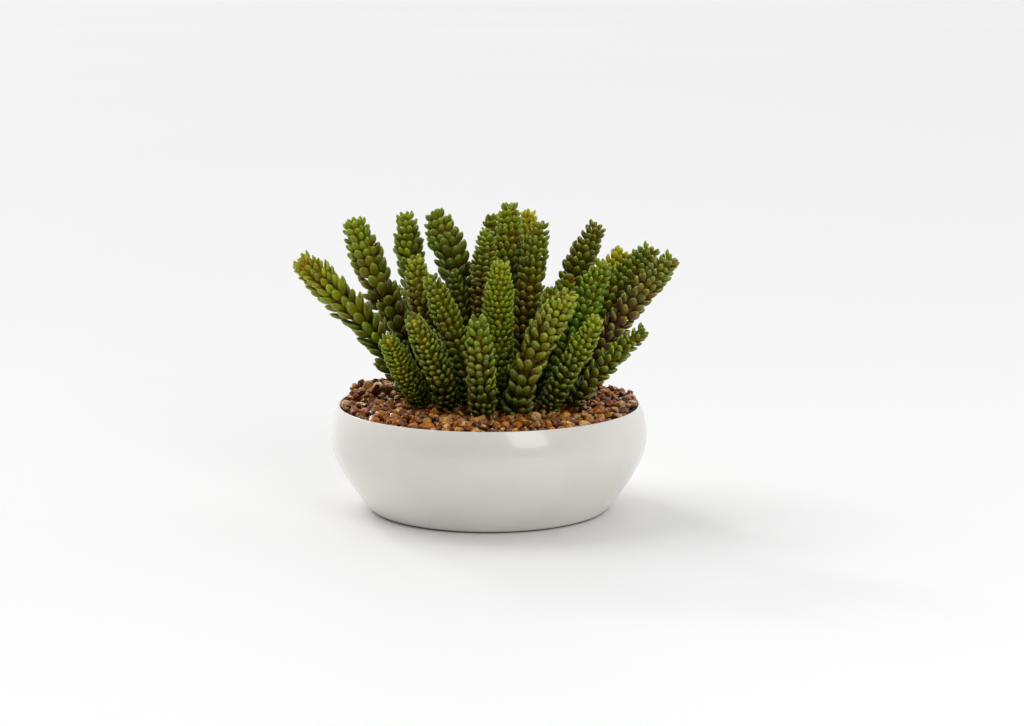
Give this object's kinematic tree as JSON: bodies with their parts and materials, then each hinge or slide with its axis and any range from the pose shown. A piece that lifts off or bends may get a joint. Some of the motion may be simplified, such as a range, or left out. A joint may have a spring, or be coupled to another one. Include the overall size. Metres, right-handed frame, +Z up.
{
  "type": "potted donkey tail",
  "caption": "Potted donkey tail: upright stems thick with plump, overlapping succulent leaves, in a low round white bowl filled with soil and topped with small brown stones.",
  "frame": {"origin": "middle of the bowl's foot, on the surface that it stands on", "axes": "+Z up, +X to the right of the front view along the plant's longest spread, -Y towards the viewer"},
  "size_m": [0.2396, 0.2, 0.1907],
  "materials": {
    "bowl_glaze": "satin off-white glaze",
    "soil": "moist crumbly potting soil",
    "stones": "small glossy brown stones",
    "leaf_green": "waxy leaf, mid green with yellow-green tips",
    "leaf_bright": "waxy leaf, bright yellow-green",
    "leaf_deep": "waxy leaf, deep bluish green",
    "leaf_russet": "waxy leaf, green flushed red-brown"
  },
  "bodies": {
    "root": {"bowl": "bowl_glaze", "soil": "soil", "stones": "stones", "stem_01": "leaf_bright", "stem_02": "leaf_green", "stem_03": "leaf_green", "stem_04": "leaf_green", "stem_05": "leaf_green", "stem_06": "leaf_deep", "stem_07": "leaf_green", "stem_08": "leaf_green", "stem_09": "leaf_bright", "stem_10": "leaf_green", "stem_11": "leaf_bright", "stem_12": "leaf_russet", "stem_13": "leaf_russet", "stem_14": "leaf_deep", "stem_15": "leaf_russet", "stem_16": "leaf_green", "stem_17": "leaf_green", "stem_18": "leaf_green", "stem_19": "leaf_deep", "stem_20": "leaf_deep", "stem_21": "leaf_green", "stem_22": "leaf_deep", "stem_23": "leaf_bright", "stem_24": "leaf_green", "stem_25": "leaf_green", "stem_26": "leaf_bright", "stem_27": "leaf_russet", "stem_28": "leaf_deep", "stem_29": "leaf_green", "stem_30": "leaf_deep"}
  },
  "joints": []
}
